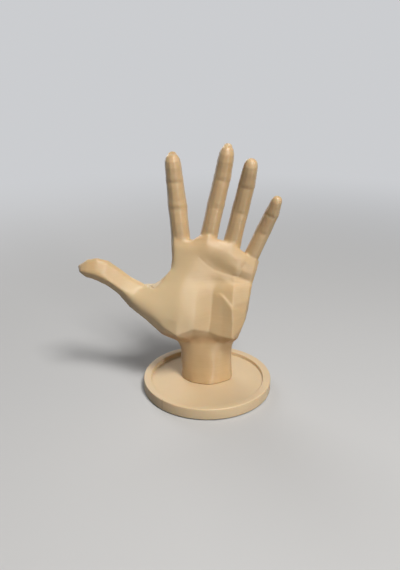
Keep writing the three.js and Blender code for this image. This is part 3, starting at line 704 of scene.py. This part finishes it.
def machined_metal(name, light, dark, roughness):
    """Turned metal with fine tool marks."""
    material, tree, shader, place = new_finish(name)
    patches = mottled(tree, place, 0.0008, 1.5)
    tree.links.new(mixed(tree, patches, (*dark, 1), (*light, 1)), shader.inputs["Base Color"])
    tree.links.new(ramp(tree, patches, 0.0, 1.0, roughness - 0.06, roughness + 0.06), shader.inputs["Roughness"])
    marks = put(tree, "ShaderNodeBump", {"Strength": 0.4, "Distance": 0.00002, "Height": patches})
    tree.links.new(marks.outputs[0], shader.inputs["Normal"])
    shader.inputs["Metallic"].default_value = 1.0
    return material


brass = machined_metal("brass of the inserts", (0.66, 0.45, 0.17), (0.56, 0.37, 0.13), 0.34)
inserts = grown("threaded_inserts",
                copies_tree("threaded inserts", insert_body, SCREW_PLACES,
                            [("Radius", "NodeSocketFloat", INSERT_RADIUS),
                             ("Bore", "NodeSocketFloat", INSERT_BORE)]),
                {"Radius": INSERT_RADIUS, "Bore": INSERT_BORE, "Material": brass})
inserts.data.shade_smooth()
inserts.data.set_sharp_from_angle(angle=math.radians(30))
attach(inserts, "root")
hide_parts("insert_thumb_side", "insert_little_finger_side")

# --- Screws ---
# Two countersunk steel screws with hex sockets. They go up through the dish into the inserts and hold the
# hand on it, with their heads just below the dish's underside.
HEAD_RADIUS = 0.0029
HEAD_BOTTOM = 0.0004
HEAD_EDGE = 0.0003
HEAD_HEIGHT = 0.0017
SHANK_RADIUS = 0.0015
SCREW_LENGTH = 0.009
SOCKET_WIDTH = 0.002
HEX_DEPTH = 0.001


def screw_body(tree, given):
    low, high = HEAD_BOTTOM, HEAD_BOTTOM + SCREW_LENGTH
    head, shank = given["Head Radius"], given["Shank Radius"]
    corners = [(0.0, low), (head, low), (head, low + HEAD_EDGE), (shank, low + HEAD_HEIGHT), (shank, high),
               (0.0, high)]
    blank = turned(tree, corners, [0.0, 0.00015, 0.0001, 0.0003, 0.0003, 0.0], 48)
    socket = drill(tree, SOCKET_WIDTH / math.sqrt(3), low - 0.001, low + HEX_DEPTH, 0, 0, 6)
    return carved(tree, blank, [socket])


steel = machined_metal("steel of the screws", (0.60, 0.61, 0.62), (0.48, 0.49, 0.50), 0.3)
screws = grown("countersunk_screws",
               copies_tree("countersunk screws", screw_body, SCREW_PLACES,
                           [("Head Radius", "NodeSocketFloat", HEAD_RADIUS),
                            ("Shank Radius", "NodeSocketFloat", SHANK_RADIUS)]),
               {"Head Radius": HEAD_RADIUS, "Shank Radius": SHANK_RADIUS, "Material": steel})
screws.data.shade_smooth()
screws.data.set_sharp_from_angle(angle=math.radians(30))
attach(screws, "root")
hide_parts("screw_thumb_side", "screw_little_finger_side")

# --- Feet ---
# Four round rubber pads, self-adhesive, pressed into shallow pockets under the dish. They stand 1 mm
# proud, with a soft lower edge, so that the dish doesn't slide or scratch.
PAD_RADIUS = 0.006
PAD_SPAN = (-0.001, 0.001)
PAD_EDGE = 0.0005


def pad_body(tree, given):
    low, high = PAD_SPAN
    corners = [(0.0, low), (given["Radius"], low), (given["Radius"], high), (0.0, high)]
    return turned(tree, corners, [0.0, given["Edge"], 0.0001, 0.0], 64)


def soft_rubber():
    """Dark rubber with a fine matt grain."""
    material, tree, shader, place = new_finish("rubber of the feet")
    grain = mottled(tree, place, 0.0006, 1.4)
    tree.links.new(mixed(tree, grain, (0.018, 0.018, 0.018, 1), (0.032, 0.032, 0.031, 1)),
                   shader.inputs["Base Color"])
    tree.links.new(ramp(tree, grain, 0.0, 1.0, 0.7, 0.85), shader.inputs["Roughness"])
    pores = put(tree, "ShaderNodeBump", {"Strength": 0.5, "Distance": 0.00003, "Height": grain})
    tree.links.new(pores.outputs[0], shader.inputs["Normal"])
    return material


feet = grown("rubber_feet",
             copies_tree("rubber feet", pad_body, FEET_PLACES,
                         [("Radius", "NodeSocketFloat", PAD_RADIUS), ("Edge", "NodeSocketFloat", PAD_EDGE)]),
             {"Radius": PAD_RADIUS, "Edge": PAD_EDGE, "Material": soft_rubber()})
feet.data.shade_smooth()
feet.data.set_sharp_from_angle(angle=math.radians(35))
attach(feet, "root")
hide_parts("foot_pad_1", "foot_pad_2", "foot_pad_3", "foot_pad_4")

# --- Surroundings ---
# A plain pale floor and backdrop with soft studio light: a large key from the upper front, a low upright strip
# at the right that draws the long highlights of the fingers and wrist, and a weak light from behind.
FLOOR_Z = -0.001
FLOOR_REACH = 3
FLOOR_SEEN = (0.62, 0.63, 0.65, 1)
FLOOR_LIT = (0.2, 0.2, 0.2, 1)
FLOOR_FADE = (0.25, 1.1)
BACKDROP = (0.60, 0.61, 0.63, 1)
AMBIENT = (0.070, 0.068, 0.065, 1)
HAND_MIDDLE = (0, 0, 0.11)


def open_rays(tree):
    """1 for rays that see the surroundings, straight or in a reflection, and 0 for the light these give."""
    rays = put(tree, "ShaderNodeLightPath").outputs
    return math_node(tree, "MAXIMUM", rays["Is Camera Ray"],
                     math_node(tree, "MAXIMUM", rays["Is Glossy Ray"], rays["Is Transmission Ray"]))


def pale_floor():
    """A matt floor that fades into the backdrop far away."""
    material, tree, shader, place = new_finish("pale floor")
    shader.inputs["Roughness"].default_value = 0.9
    shader.inputs["Specular IOR Level"].default_value = 0.1
    seen = open_rays(tree)
    tree.links.new(mixed(tree, seen, FLOOR_LIT, FLOOR_SEEN), shader.inputs["Base Color"])
    away = put(tree, "ShaderNodeVectorMath", {0: place}, operation="LENGTH").outputs["Value"]
    far = ramp(tree, away, *FLOOR_FADE, kind="SMOOTHSTEP")
    glow = put(tree, "ShaderNodeEmission", {"Color": BACKDROP, "Strength": 1.0})
    blend = put(tree, "ShaderNodeMixShader",
                {0: math_node(tree, "MULTIPLY", seen, far), 1: shader.outputs[0], 2: glow.outputs[0]})
    tree.links.new(blend.outputs[0], tree.nodes["Material Output"].inputs["Surface"])
    return material


floor = bpy.data.objects.new("floor", bpy.data.meshes.new("floor"))
scene.collection.objects.link(floor)
corners = [(x * FLOOR_REACH, y * FLOOR_REACH, FLOOR_Z) for x, y in ((-1, -1), (1, -1), (1, 1), (-1, 1))]
floor.data.from_pydata(corners, [], [(0, 1, 2, 3)])
floor.data.materials.append(pale_floor())


def softbox(name, place, target, width, height, power, colour):
    """A soft lamp that faces the display."""
    data = bpy.data.lights.new(name, "AREA")
    data.shape = "RECTANGLE"
    data.size = width
    data.size_y = height
    data.energy = power
    data.color = colour
    lamp = bpy.data.objects.new(name, data)
    scene.collection.objects.link(lamp)
    lamp.location = place
    lamp.rotation_euler = (Vector(target) - Vector(place)).to_track_quat("-Z", "Y").to_euler()
    lamp.visible_camera = False


softbox("key light", (0.40, -0.74, 1.34), HAND_MIDDLE, 0.4, 0.4, 19.0, (1.0, 0.97, 0.92))
softbox("back light", (-0.55, 1.0, 0.75), HAND_MIDDLE, 0.7, 0.7, 5.0, (1.0, 0.98, 0.95))
softbox("strip light", (0.72, -1.14, 0.12), HAND_MIDDLE, 0.1, 0.9, 8.0, (1.0, 0.98, 0.95))
world = bpy.data.worlds.new("world")
world.use_nodes = True
around = world.node_tree.nodes["Background"]
world.node_tree.links.new(mixed(world.node_tree, open_rays(world.node_tree), AMBIENT, BACKDROP),
                          around.inputs["Color"])
around.inputs["Strength"].default_value = 1.0
scene.world = world
scene.view_settings.view_transform = "Standard"
